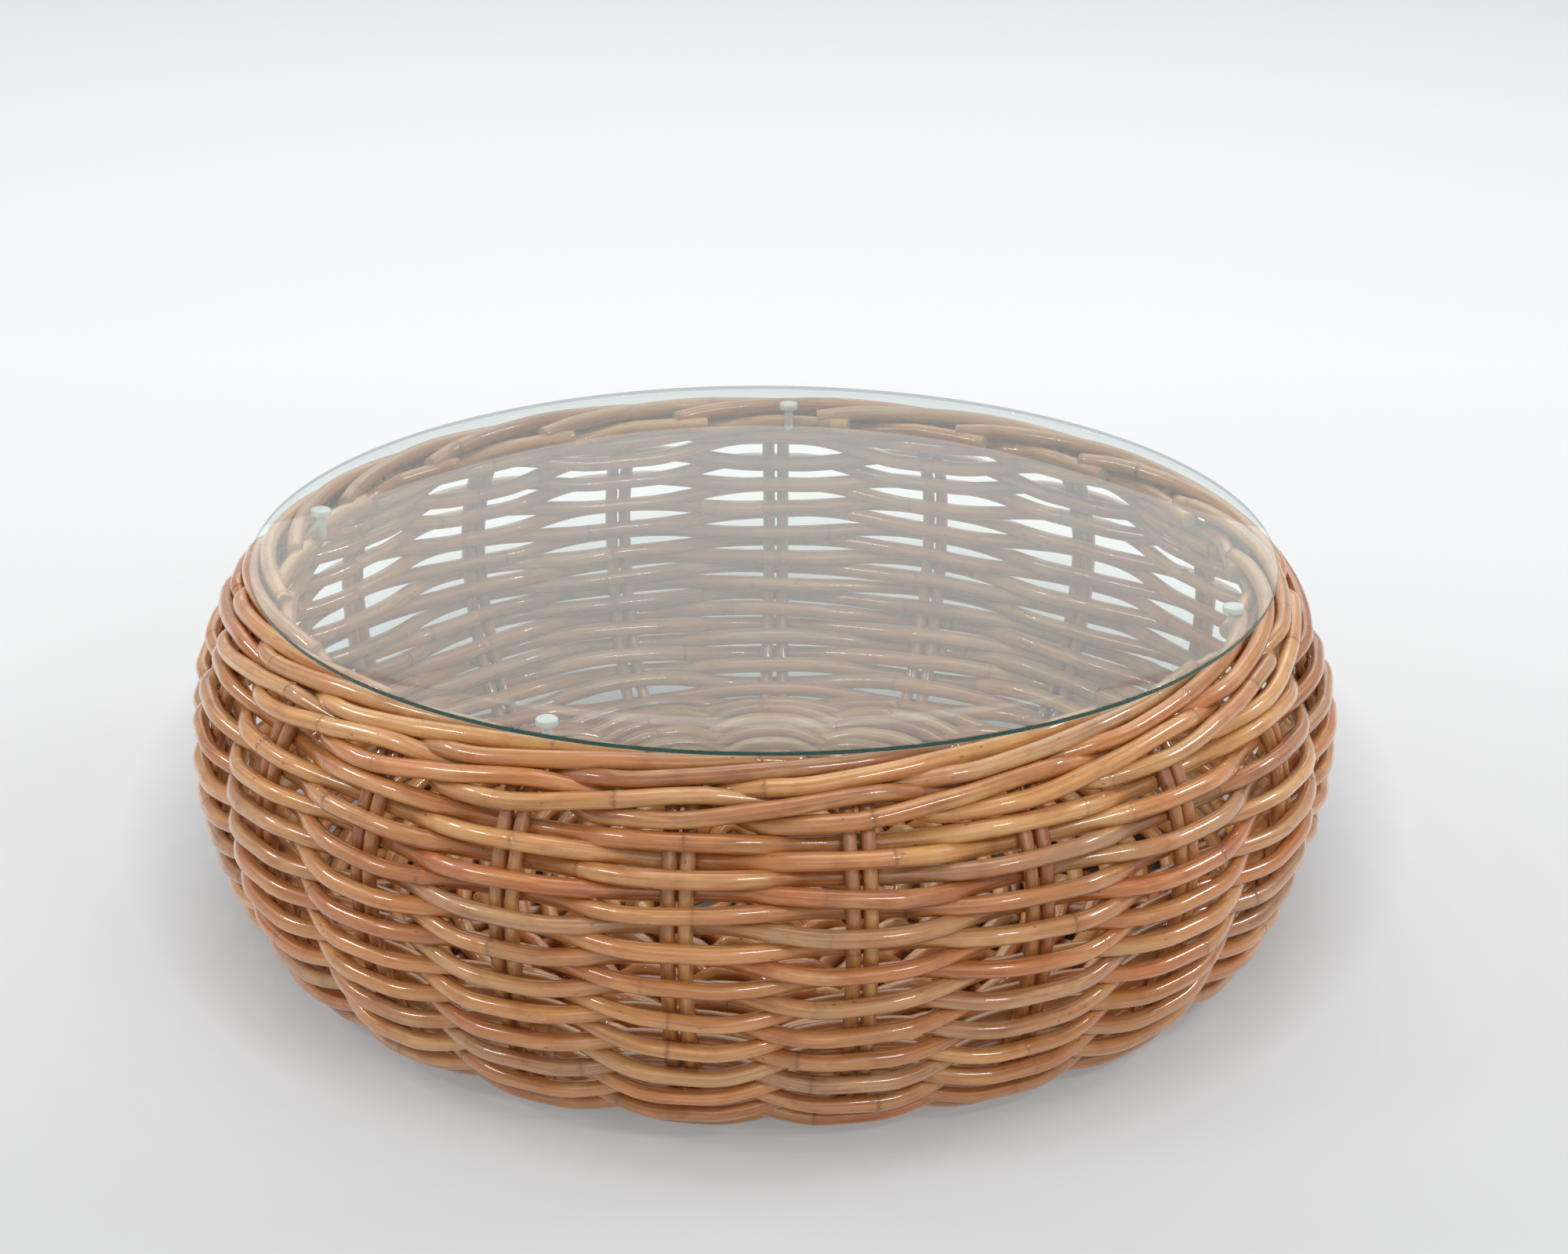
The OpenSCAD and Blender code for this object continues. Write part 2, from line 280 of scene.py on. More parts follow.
class Canes:
    """Gathers canes, and makes one mesh piece of them."""

    def __init__(self):
        self.points = []
        self.grain = []
        self.marks = {name: [] for name in MARKS}
        self.faces = []
        self.smooth = []
        self.count = 0

    def add(self, path, outward, radius, tone, blush, rng, sides=SIDES):
        """Sweeps one cane along a fine path, with its nodes, its tints and its two cut ends."""
        run = np.concatenate([[0], np.cumsum(np.linalg.norm(np.diff(path, axis=0), axis=1))])
        length = run[-1]
        nodes = node_places(length, rng)
        at = np.concatenate(
            [np.linspace(0, length, int(length / SAMPLE_STEP) + 2)]
            + [node + NODE_OFFSETS for node in nodes]
        )
        at = np.unique(np.round(at[(at >= 0) & (at <= length)], 5))
        at = at[np.concatenate([[True], np.diff(at) > CLOSEST_RINGS])]
        centre = np.stack([np.interp(at, run, path[:, i]) for i in range(3)], axis=-1)
        out = np.stack([np.interp(at, run, outward[:, i]) for i in range(3)], axis=-1)
        along = unit(np.gradient(centre, axis=0))
        side = unit(np.cross(along, out))
        up = np.cross(side, along)

        if len(nodes):
            gap = at[:, None] - nodes[None]
            nearest = np.abs(gap).argmin(axis=1)
            near = gap[np.arange(len(at)), nearest]
            internode = np.searchsorted(nodes, at, side="right")
        else:
            nearest = np.zeros(len(at), int)
            near = np.full_like(at, np.inf)
            internode = np.zeros(len(at), int)
        choices = max(len(nodes), 1)
        ridge = hump(near, RIDGE_FADE) * rng.uniform(0.3, 1, choices)[nearest]
        groove = hump(near, GROOVE_FADE)
        unevenness = UNEVENNESS * wander(at, rng, wavelength=0.35)
        thick = radius * (1 + unevenness + RIDGE * ridge - GROOVE * groove)

        count = len(at)
        turn = np.linspace(0, 2 * math.pi, sides, endpoint=False)
        across = np.cos(turn)[None, :, None] * side[:, None] + np.sin(turn)[None, :, None] * up[:, None]
        flat = OVALNESS * np.cos(2 * turn[None] + 2 * wander(at, rng, wavelength=0.6)[:, None])
        rings = centre[:, None] + (thick[:, None] * (1 + flat))[..., None] * across
        offset = rng.uniform(0, GRAIN_REACH)
        grain = np.empty((count, sides, 3))
        grain[..., 0] = (at + offset)[:, None]
        grain[..., 1] = radius * np.cos(turn) + offset
        grain[..., 2] = radius * np.sin(turn)

        tones = tone + rng.normal(0, TONE_CHANGE, len(nodes) + 1)[internode]
        tones += TONE_CHANGE * wander(at, rng, wavelength=0.5)
        blushes = blush + rng.normal(0, BLUSH_CHANGE, len(nodes) + 1)[internode]
        blushes += BLUSH_CHANGE * wander(at, rng, wavelength=0.3)
        knot = hump(near, RING_FADE) * rng.uniform(0.35, 1, choices)[nearest]
        band = hump(near - STAIN_AT, STAIN_FADE) * rng.uniform(0, 1, choices)[nearest]
        ring_marks = {"tone": tones, "blush": blushes, "knot": knot, "band": band, "cut": 0 * at}

        first = self.count
        self._store(rings, grain, ring_marks, sides)
        self._join(first, count, sides)
        for end, ahead in ((0, -1), (count - 1, 1)):
            self._close(centre[end], along[end] * ahead, across[end], thick[end], grain[end],
                        {name: ring_marks[name][end] for name in MARKS}, first + end * sides, ahead)

    def _store(self, rings, grain, ring_marks, sides):
        self.points.append(rings.reshape(-1, 3))
        self.grain.append(grain.reshape(-1, 3))
        for name in MARKS:
            self.marks[name].append(np.repeat(ring_marks[name], sides))
        self.count += rings.shape[0] * sides

    def _join(self, first, rings, sides):
        """The quads between a run of rings."""
        ring = np.arange(rings - 1)[:, None] * sides
        spot = np.arange(sides)[None]
        after = (spot + 1) % sides
        quads = np.stack([ring + spot, ring + after, ring + sides + after, ring + sides + spot], axis=-1)
        quads = quads.reshape(-1, 4) + first
        self.faces.extend(quads.tolist())
        self.smooth.extend([True] * len(quads))

    def _close(self, centre, ahead, across, radius, grain, marks, edge, sense):
        """A cut end: a narrow bevel, then the flat face of the pith."""
        sides = len(across)
        first = self.count
        middle = centre + ahead * BEVEL * BEVEL_SLOPE
        rim = middle + across * (radius - BEVEL)
        self.points.append(np.concatenate([rim, middle[None]]))
        inner = grain.copy()
        inner[:, 0] += BEVEL
        self.grain.append(np.concatenate([inner, inner.mean(axis=0)[None]]))
        for name in MARKS:
            value = 1.0 if name == "cut" else marks[name]
            self.marks[name].append(np.full(sides + 1, value))
        self.count += sides + 1
        for i in range(sides):
            j = (i + 1) % sides
            quad = [edge + i, edge + j, first + j, first + i]
            fan = [first + i, first + j, first + sides]
            self.faces.extend([quad, fan] if sense > 0 else [quad[::-1], fan[::-1]])
            self.smooth.extend([False, False])

    def piece(self, name, material):
        mesh = bpy.data.meshes.new(name)
        points = np.concatenate(self.points)
        mesh.from_pydata(points.tolist(), [], self.faces)
        mesh.polygons.foreach_set("use_smooth", self.smooth)
        for mark in MARKS:
            layer = mesh.attributes.new(mark, "FLOAT", "POINT")
            layer.data.foreach_set("value", np.concatenate(self.marks[mark]).astype(np.float32))
        layer = mesh.attributes.new("grain", "FLOAT_VECTOR", "POINT")
        layer.data.foreach_set("vector", np.concatenate(self.grain).astype(np.float32).ravel())
        mesh.materials.append(material)
        mesh.update()
        piece = bpy.data.objects.new(name, mesh)
        bpy.context.scene.collection.objects.link(piece)
        return piece


# ---------------------------------------------------------------- materials

def node_tree(name):
    """A new material, its node maker and its shader."""
    material = bpy.data.materials.new(name)
    material.use_nodes = True
    tree = material.node_tree
    shader = tree.nodes["Principled BSDF"]

    def make(kind, inputs=None, **settings):
        node = tree.nodes.new(kind)
        for key, value in settings.items():
            setattr(node, key, value)
        for key, value in (inputs or {}).items():
            if isinstance(value, bpy.types.NodeSocket):
                tree.links.new(value, node.inputs[key])
            else:
                node.inputs[key].default_value = value
        return node

    return material, tree, make, shader


def mixed(make, amount, below, above, kind="MIX"):
    """One colour laid over another."""
    node = make("ShaderNodeMix", data_type="RGBA", blend_type=kind)
    tree = node.id_data
    for socket, value in ((node.inputs[0], amount), (node.inputs[6], below), (node.inputs[7], above)):
        if isinstance(value, bpy.types.NodeSocket):
            tree.links.new(value, socket)
        else:
            socket.default_value = value
    return node.outputs[2]


def banded(make, value, low, high, to_low=0.0, to_high=1.0):
    """A value remapped from low..high, and clamped."""
    node = make(
        "ShaderNodeMapRange",
        {"Value": value, "From Min": low, "From Max": high, "To Min": to_low, "To Max": to_high},
    )
    return node.outputs[0]


def cane_material(name, tints, blush_tint, wan_tint, knot_tint):
    """Lacquered cane: fibres along it, mottling, specks, dark rings at the nodes and pale pith at a cut."""
    material, tree, make, shader = node_tree(name)

    def mark(attribute):
        return make("ShaderNodeAttribute", attribute_name=attribute).outputs["Fac"]

    grain = make("ShaderNodeAttribute", attribute_name="grain").outputs["Vector"]

    def stretched(scale):
        return make("ShaderNodeMapping", {"Vector": grain, "Scale": scale}).outputs[0]

    def noise(scale, detail, rough=0.5):
        return make(
            "ShaderNodeTexNoise",
            {"Vector": stretched(scale), "Scale": 1.0, "Detail": detail, "Roughness": rough},
        ).outputs["Fac"]

    ramp = make("ShaderNodeValToRGB", {"Fac": mark("tone")})
    ramp.color_ramp.interpolation = "EASE"
    ramp.color_ramp.elements[0].color = tints[0]
    ramp.color_ramp.elements[1].color = tints[-1]
    for i, tint in enumerate(tints[1:-1]):
        ramp.color_ramp.elements.new((i + 1) / (len(tints) - 1)).color = tint
    colour = mixed(make, banded(make, mark("blush"), 0.35, 1.0, 0, 0.85), ramp.outputs[0], blush_tint)
    colour = mixed(make, banded(make, mark("blush"), 0.3, -0.15, 0, 0.7), colour, wan_tint)

    fibres = noise((22, 900, 900), 4, 0.6)
    streaks = noise((7, 260, 260), 3, 0.55)
    mottle = noise((38, 75, 75), 3, 0.6)
    patches = noise((11, 55, 55), 3, 0.6)
    colour = mixed(make, banded(make, patches, 0.50, 0.66, 0, 0.42), colour, blush_tint)
    colour = mixed(make, banded(make, patches, 0.46, 0.34, 0, 0.45), colour, tints[-1])
    for marking, low, high, most, shade in (
        (fibres, 0.38, 0.68, 0.7, (0.78, 0.67, 0.55, 1)),
        (streaks, 0.48, 0.68, 0.85, (0.74, 0.60, 0.48, 1)),
        (mottle, 0.50, 0.74, 0.75, (0.70, 0.55, 0.44, 1)),
    ):
        colour = mixed(make, banded(make, marking, low, high, 0, most), colour, shade, "MULTIPLY")

    specks = make(
        "ShaderNodeTexVoronoi", {"Vector": stretched((60, 110, 110)), "Scale": 1.0, "Randomness": 1.0}
    ).outputs["Distance"]
    thinned = banded(make, noise((17, 30, 30), 1), 0.48, 0.56)
    dots = make("ShaderNodeMath", {0: banded(make, specks, 0.13, 0.06), 1: thinned}, operation="MULTIPLY")
    colour = mixed(make, banded(make, dots.outputs[0], 0, 1, 0, 0.8), colour, knot_tint)

    ragged = noise((260, 420, 420), 3, 0.6)
    blotches = banded(make, ragged, 0.35, 0.65)
    stain = make("ShaderNodeMath", {0: mark("band"), 1: blotches}, operation="MULTIPLY")
    colour = mixed(make, banded(make, stain.outputs[0], 0, 1, 0, 0.55), colour, tints[0])
    uneven = banded(make, ragged, 0.3, 0.6, 0.35, 1)
    ring = make("ShaderNodeMath", {0: mark("knot"), 1: uneven}, operation="MULTIPLY")
    colour = mixed(make, banded(make, ring.outputs[0], 0.05, 1.0, 0, 0.8), colour, knot_tint)

    pores = make(
        "ShaderNodeTexVoronoi", {"Vector": stretched((0, 1500, 1500)), "Scale": 1.0}
    ).outputs["Distance"]
    pith = mixed(make, banded(make, pores, 0.25, 0.12, 0, 0.7), PITH, PORE)
    colour = mixed(make, banded(make, mark("cut"), 0.4, 0.6), colour, pith)
    tree.links.new(colour, shader.inputs["Base Color"])

    dull = make("ShaderNodeMath", {0: mark("cut"), 1: mark("knot")}, operation="MAXIMUM").outputs[0]
    sheen = make(
        "ShaderNodeMath", {0: banded(make, mottle, 0.3, 0.8, 0.26, 0.44), 1: dull}, operation="MAXIMUM"
    )
    tree.links.new(sheen.outputs[0], shader.inputs["Roughness"])
    shader.inputs["Coat Weight"].default_value = 0.9
    shader.inputs["Coat Roughness"].default_value = 0.06
    shader.inputs["Coat IOR"].default_value = 1.5

    dents = noise((55, 130, 130), 3, 0.55)
    height = make("ShaderNodeMath", {0: fibres, 1: 0.25}, operation="MULTIPLY")
    height = make("ShaderNodeMath", {0: height.outputs[0], 1: dents}, operation="ADD")
    bump = make("ShaderNodeBump", {"Height": height.outputs[0], "Strength": 0.35, "Distance": 0.9 * MM})
    tree.links.new(bump.outputs[0], shader.inputs["Normal"])
    return material


CANE_TINTS = [
    (0.25, 0.095, 0.033, 1), (0.42, 0.168, 0.053, 1), (0.55, 0.243, 0.074, 1), (0.68, 0.350, 0.112, 1),
    (0.77, 0.465, 0.190, 1),
]
BLUSH = (0.60, 0.200, 0.056, 1)
KNOT = (0.19, 0.080, 0.036, 1)
WAN = (0.45, 0.27, 0.15, 1)
PITH = (0.52, 0.36, 0.20, 1)
PORE = (0.22, 0.12, 0.06, 1)
cane_look = cane_material("lacquered_cane", CANE_TINTS, BLUSH, WAN, KNOT)
STAKE_TINTS = [
    (0.26, 0.100, 0.036, 1), (0.42, 0.172, 0.058, 1), (0.54, 0.245, 0.080, 1), (0.65, 0.340, 0.120, 1),
    (0.72, 0.435, 0.185, 1),
]
stake_look = cane_material("lacquered_stake", STAKE_TINTS, (0.50, 0.185, 0.075, 1), WAN, KNOT)

# A glass face mirrors this share of the light head on, and more of it the more slantwise it is seen
FACE_ON_GLOSS = 0.043
GRAZING_POWER = 5


def clear_glass():
    """A clear pane: what is behind it shows through, with the gloss of its two faces."""
    material, tree, make, shader = node_tree("clear_glass")
    tree.nodes.remove(shader)
    coordinates = make("ShaderNodeTexCoord").outputs["Object"]
    smears = make(
        "ShaderNodeTexNoise", {"Vector": coordinates, "Scale": 9.0, "Detail": 4.0, "Roughness": 0.6}
    ).outputs["Fac"]
    through = make("ShaderNodeBsdfTransparent", {"Color": (0.950, 0.975, 0.962, 1)})
    gloss = make(
        "ShaderNodeBsdfGlossy",
        {"Color": (0.95, 1.0, 0.985, 1), "Roughness": banded(make, smears, 0.35, 0.75, 0.012, 0.05)},
    )
    slant = make("ShaderNodeLayerWeight", {"Blend": 0.5}).outputs["Facing"]
    grazing = make("ShaderNodeMath", {0: slant, 1: GRAZING_POWER}, operation="POWER").outputs[0]
    share = banded(make, grazing, 0, 1, FACE_ON_GLOSS, 1)
    mix = make("ShaderNodeMixShader", {0: share, 1: through.outputs[0], 2: gloss.outputs[0]})
    tree.links.new(mix.outputs[0], tree.nodes["Material Output"].inputs["Surface"])
    return material


def glass_edge():
    """The pane's ground edge: dark green from outside, by the width of the glass, and pale from inside."""
    material, tree, make, shader = node_tree("glass_edge")
    coordinates = make("ShaderNodeTexCoord").outputs["Object"]
    ground = make(
        "ShaderNodeTexNoise", {"Vector": coordinates, "Scale": 260.0, "Detail": 3.0, "Roughness": 0.6}
    ).outputs["Fac"]
    colour = mixed(make, ground, (0.008, 0.050, 0.036, 1), (0.024, 0.092, 0.068, 1))
    tree.links.new(colour, shader.inputs["Base Color"])
    tree.links.new(banded(make, ground, 0.3, 0.7, 0.2, 0.35), shader.inputs["Roughness"])
    inward = make("ShaderNodeNewGeometry").outputs["Backfacing"]
    through = make("ShaderNodeBsdfTransparent", {"Color": (0.62, 0.68, 0.70, 1)})
    mix = make("ShaderNodeMixShader", {0: inward, 1: shader.outputs[0], 2: through.outputs[0]})
    tree.links.new(mix.outputs[0], tree.nodes["Material Output"].inputs["Surface"])
    return material


def clear_plastic():
    """Soft clear plastic, a little milky."""
    material, tree, make, shader = node_tree("clear_plastic")
    coordinates = make("ShaderNodeTexCoord").outputs["Object"]
    haze = make(
        "ShaderNodeTexNoise", {"Vector": coordinates, "Scale": 140.0, "Detail": 3.0, "Roughness": 0.55}
    ).outputs["Fac"]
    colour = mixed(make, haze, (0.68, 0.71, 0.66, 1), (0.82, 0.84, 0.79, 1))
    tree.links.new(colour, shader.inputs["Base Color"])
    tree.links.new(banded(make, haze, 0.3, 0.7, 0.10, 0.26), shader.inputs["Roughness"])
    shader.inputs["Transmission Weight"].default_value = 0.2
    shader.inputs["IOR"].default_value = 1.46
    return material


# Painted shade: the floor's colour is darker towards the front and paler towards the back, in place of light
# falling off
PAINTED_SHADE_NEAR = (0.195, 0.202, 0.207, 1)
PAINTED_LIGHT_FAR = (0.467, 0.471, 0.475, 1)
PAINTED_FADE_Y = (-1.6, 1.6)
# The floor glows with painted light, which lifts the shadows on it, but not under and just behind the basket,
# where the missing glow leaves a painted shadow
PAINTED_FLOOR_GLOW = 0.4
PAINTED_SHADOW_R = (0.55, 0.80)


def painted_light_and_shade_floor():
    """A pale studio floor, with painted shade that darkens it towards the front and leaves it paler towards
    the back, and a painted glow that lifts its shadows except for a painted shadow under and just behind the
    basket.
    """
    material, tree, make, shader = node_tree("painted_light_and_shade_floor")
    coordinates = make("ShaderNodeTexCoord").outputs["Object"]
    cloud = make(
        "ShaderNodeTexNoise", {"Vector": coordinates, "Scale": 0.7, "Detail": 2.0, "Roughness": 0.5}
    ).outputs["Fac"]
    forward = make("ShaderNodeSeparateXYZ", {"Vector": coordinates}).outputs["Y"]
    # Painted shade: the floor's colour darkens towards the front
    ground = mixed(make, banded(make, forward, *PAINTED_FADE_Y), PAINTED_SHADE_NEAR, PAINTED_LIGHT_FAR)
    colour = mixed(make, cloud, ground, (0.97, 0.97, 0.97, 1), "MULTIPLY")
    tree.links.new(colour, shader.inputs["Base Color"])
    shifted = make(
        # Painted shadow: no glow within an ellipse under and just behind the basket
        "ShaderNodeMapping", {"Vector": coordinates, "Location": (0, -0.3, 0), "Scale": (1.3, 1, 1)}
    )
    from_painted_shadow = make("ShaderNodeVectorMath", {0: shifted.outputs[0]}, operation="LENGTH").outputs["Value"]
    painted_glow = banded(make, from_painted_shadow, *PAINTED_SHADOW_R, 0, PAINTED_FLOOR_GLOW)
    # Painted light: the floor glows, though it is no lamp
    shader.inputs["Emission Color"].default_value = (1, 1, 1, 1)
    tree.links.new(painted_glow, shader.inputs["Emission Strength"])
    shader.inputs["Roughness"].default_value = 0.75
    shader.inputs["Specular IOR Level"].default_value = 0.2
    return material


# ---------------------------------------------------------------- the basket

def row_s(row):
    return TOP_ROW_S - row * ROW_PITCH


def row_flat(row):
    return WALL_FLAT + (BASE_FLAT - WALL_FLAT) * min(max((row - FIRST_FLAT_ROW) / FLAT_ROWS, 0), 1)


def row_sway(row, u):
    """How far the rows at this place bend up or down together."""
    turn = STEP * np.asarray(u, float)
    total = sum(np.sin(waves * turn + slant * row + phase) for waves, slant, phase in SWAY)
    return SWAY_SIZE * min(1, row / SWAY_FADE_ROWS) * total / 2


def row_path(row, start, end, radius, rng):
    """A weaver of one row, from one place round the basket to another: flat over a pair, then across."""
    u = np.linspace(start, end, int((end - start) * POINTS_PER_STEP) + 1)
    pair = np.round(u)
    flat = row_flat(row) * rng.uniform(*FLAT_VARIES)
    crossing = np.clip((np.abs(u - pair) - flat) / (0.5 - flat), 0, 1)
    side = np.where((pair + row) % 2 == 0, 1, -1)
    corner = max(0, 1 - abs(row - CORNER_ROW) / CORNER_ROWS)
    lift = min(SHOWN_LIFT, SHOWN_REACH - THICKEST * radius) - CORNER_PRESS * corner
    n = side * lift * np.cos(crossing * math.pi / 2) + CORNER_SHIFT * corner
    run = u * STEP * outline(row_s(row))[0]
    s = row_s(row) + row_sway(row, u) + ROW_STRAY * wander(run, rng, wavelength=0.7)
    return place(u, s, n)


def own_look(look, rng):
    """One cane's own tone and blush."""
    return [rng.normal(middle, spread) for middle, spread in look]


def weave_row(canes, row, seed):
    """One row of weaving, of several canes that meet end to end behind a stake pair."""
    rng = np.random.default_rng([SEED, seed])
    step_here = STEP * outline(row_s(row))[0]
    whole = 2 * round(CANE_LENGTH / step_here / 2)
    u = 2 * rng.integers(0, PAIRS // 2) + (row + 1) % 2
    last = u + PAIRS
    while u < last:
        reach = min(max(SHORTEST_CANE, whole + 2 * rng.integers(-1, 2)), last - u)
        if last - u - reach < SHORTEST_CANE:
            reach = last - u
        gap = JOIN_GAP / step_here
        radius = rng.uniform(*SHOWN_WEAVER_D) / 2
        path, outward = row_path(row, u + gap + JOIN_U, u + reach - gap + JOIN_U, radius, rng)
        canes.add(path, outward, radius, *own_look(WEAVER_LOOK, rng), rng)
        u += reach


def bend_round(points, times):
    """A line with its corners cut, again and again, so that it bends smoothly."""
    for _ in range(times):
        before, after = points[:-1], points[1:]
        cut = np.stack([0.75 * before + 0.25 * after, 0.25 * before + 0.75 * after], axis=1)
        points = np.concatenate([points[:1], cut.reshape(-1, 3), points[-1:]])
    return points


def stake_path(pair, side):
    """A stake, from its foot in the base up to its top inside the border, and its outward directions."""
    up_wall = np.linspace(-FLOOR_LEN, STAKE_TOP, STAKE_POINTS)
    r, z, tilt = outline(up_wall)
    foot = np.linspace(STAKE_FOOT_R, r[0], FOOT_POINTS, endpoint=False)
    r = np.concatenate([foot, r]) - GIRTH_R
    z = np.concatenate([np.full(len(foot), BASE_Z), z])
    tilt = np.concatenate([np.full(len(foot), -math.pi / 2), tilt])
    along = r * math.cos(SPLAY) + GIRTH_R
    across = side * PAIR_HALF - side * r * math.sin(SPLAY)
    angle = azimuth(pair)
    path = turned(along, z, angle) + across[:, None] * np.array([math.cos(angle), math.sin(angle), 0])
    return path, turned(np.cos(tilt), np.sin(tilt), angle)


def border_path(keys, turn, rng):
    """A border cane, smooth between its keys and a little uneven."""
    keys = np.array(keys, float)
    u = np.linspace(keys[0, 0], keys[-1, 0], BORDER_POINTS)
    s, n = smooth_between(keys, u)
    run = u * STEP * GIRTH_R
    s = s + BORDER_STRAY_S * wander(run, rng, wavelength=0.8)
    n = n + BORDER_STRAY_N * wander(run, rng, wavelength=0.5)
    return place(u + turn, s * MM, n * MM)


def stick_end(level, u):
    angle = azimuth(u)
    radii = np.array([STICK_BEND_R, STICK_LEVEL_R, STICK_END_R])
    return turned(radii, BASE_Z + np.where(radii < STICK_LEVEL_R, level / 2, 0), angle)


def stick_path(offset, level, first_u):
    """A stick of the base: straight through the cross, then out between the stakes of two opposite pairs."""
    heading = azimuth(first_u)
    across = np.array([math.cos(heading), math.sin(heading), 0]) * offset * STICK_PITCH
    ahead = np.array([math.sin(heading), -math.cos(heading), 0]) * CROSS_HALF
    lift = np.array([0, 0, BASE_Z + level])
    points = np.concatenate([
        stick_end(level, first_u + PAIRS / 2 - offset)[::-1],
        [across - ahead + lift, across + ahead + lift],
        stick_end(level, first_u + offset),
    ])
    return bend_round(points, CORNER_CUTS)


def finish_piece(piece, body, slot, *nodes):
    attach(piece, body)
    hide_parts(*nodes)


for number in range(1, WALL_ROWS + 1):
    row_of_canes = Canes()
    weave_row(row_of_canes, WALL_ROWS - number, number)
    piece = row_of_canes.piece(f"weaver_row_{number:02d}", cane_look)
    finish_piece(piece, "basket", "wall_cane", f"wall_weaver_{number:02d}")

base_canes = Canes()
for row in range(WALL_ROWS, WALL_ROWS + BASE_ROWS):
    weave_row(base_canes, row, row)
piece = base_canes.piece("base_weave", cane_look)
finish_piece(piece, "basket", "base_cane", "base_weavers")

for number in range(1, PAIRS + 1):
    pair_of_stakes = Canes()
    for side in (-1, 1):
        rng = np.random.default_rng([SEED, 100 + number, side + 1])
        path, outward = stake_path(number - 1, side)
        radius = STAKE_D / 2 * (1 - STAKE_THINNING * rng.random())
        pair_of_stakes.add(path, outward, radius, *own_look(STAKE_LOOK, rng), rng)
    piece = pair_of_stakes.piece(f"stakes_{number:02d}", stake_look)
    finish_piece(piece, "basket", "stake_cane", f"stake_pair_{number:02d}")

for name, node, keys, seed in (
    ("border_lower", "border_lower_canes", LOWER_BORDER, 200),
    ("border_upper", "border_upper_canes", UPPER_BORDER, 300),
):
    border = Canes()
    for turn in range(PAIRS):
        rng = np.random.default_rng([SEED, seed + turn])
        path, outward = border_path(keys, turn, rng)
        radius = SHOWN_BORDER_D / 2 * (1 - BORDER_THINNING * rng.random())
        border.add(path, outward, radius, *own_look(BORDER_LOOK, rng), rng, sides=BORDER_SIDES)
    finish_piece(border.piece(name, cane_look), "basket", "border_cane", node)

for name, node, first_u, sense in (
    ("sticks_lower", "base_sticks_lower", 0, -1),
    ("sticks_upper", "base_sticks_upper", STICKS, 1),
):
    sticks = Canes()
    reach = (STICKS - 1) // 2
    for offset in range(-reach, reach + 1):
        rng = np.random.default_rng([SEED, 400 + first_u, offset + reach])
        path = stick_path(offset, sense * (STICK_D / 2 + CROSS_GAP), first_u)
        upward = np.tile([0.0, 0.0, 1.0], (len(path), 1))
        sticks.add(path, upward, STICK_D / 2, *own_look(STICK_LOOK, rng), rng)
    finish_piece(sticks.piece(name, stake_look), "basket", "base_cane", node)


# ---------------------------------------------------------------- the glass and its bumpers

SHARP_ANGLE = math.radians(40)
ARC_POINTS = 4


def lathe(name, profile, segments, materials, slot_of):
    """A turned piece from its outline, from the middle of its underside out and up to that of its top."""
    angles = np.linspace(0, 2 * math.pi, segments, endpoint=False)
    inner = profile[1:-1]
    points = [(0, 0, profile[0][1])]
    for r, z in inner:
        points += [(r * math.cos(a), r * math.sin(a), z) for a in angles]
    points.append((0, 0, profile[-1][1]))
    faces, slots = [], []
    for i in range(segments):
        j = (i + 1) % segments
        faces.append((0, 1 + j, 1 + i))
        slots.append(slot_of(0))
        for k in range(len(inner) - 1):
            low, high = 1 + k * segments, 1 + (k + 1) * segments
            faces.append((low + i, low + j, high + j, high + i))
            slots.append(slot_of(k + 1))
        low = 1 + (len(inner) - 1) * segments
        faces.append((low + i, low + j, len(points) - 1))
        slots.append(slot_of(len(inner)))
    mesh = bpy.data.meshes.new(name)
    mesh.from_pydata(points, [], faces)
    for material in materials:
        mesh.materials.append(material)
    mesh.polygons.foreach_set("material_index", slots)
    mesh.shade_smooth()
    mesh.set_sharp_from_angle(angle=SHARP_ANGLE)
    piece = bpy.data.objects.new(name, mesh)
    bpy.context.scene.collection.objects.link(piece)
    return piece


def rounded(r, z, radius, start, end):
    """Points of a rounded edge about (r, z), between two angles in degrees."""
    return [
        (r + radius * math.cos(math.radians(a)), z + radius * math.sin(math.radians(a)))
        for a in np.linspace(start, end, ARC_POINTS)
    ]


GLASS_SEGMENTS = 256
EDGE_R = 1.2 * MM
# Each face has one ring of points on the way out, at this share of the radius
FACE_RING = 0.7

low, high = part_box("glass_top")
glass_r = (high.x - low.x) / 2
glass_t = high.z - low.z
edge = rounded(glass_r - EDGE_R, EDGE_R, EDGE_R, -90, 0) + rounded(
    glass_r - EDGE_R, glass_t - EDGE_R, EDGE_R, 0, 90
)
profile = [(0, 0), (glass_r * FACE_RING, 0), *edge, (glass_r * FACE_RING, glass_t), (0, glass_t)]
# The two bands at the middle of the rounded edge are its ground part
pane = lathe(
    "glass_pane", profile, GLASS_SEGMENTS, [clear_glass(), glass_edge()],
    lambda k: 1 if 0 <= k - len(edge) // 2 - 1 <= 1 else 0,
)
pane.location.z = low.z
finish_piece(pane, "glass", "glass", "glass_top")

STEM_D = 9 * MM
HEAD_T = 6 * MM
HEAD_EDGE_R = (1.2 * MM, 1.6 * MM)
HEAD_DISH = 0.7 * MM
RIB_LEVELS = (3.5 * MM, 7.5 * MM, 11.5 * MM)
RIB_T = 1.2 * MM
RIB_DEPTH = 0.5 * MM
SHANK_FROM = 15 * MM
TIP_T = 1.6 * MM
TIP_INSET = 0.6 * MM
# As shares of the stem's and the head's radius: the flat end of the tip and the shoulder of the dish
TIP_FLAT = 0.55
SHOULDER = 0.35
SHOULDER_DEPTH = 0.5 * MM
STUD_SEGMENTS = 40

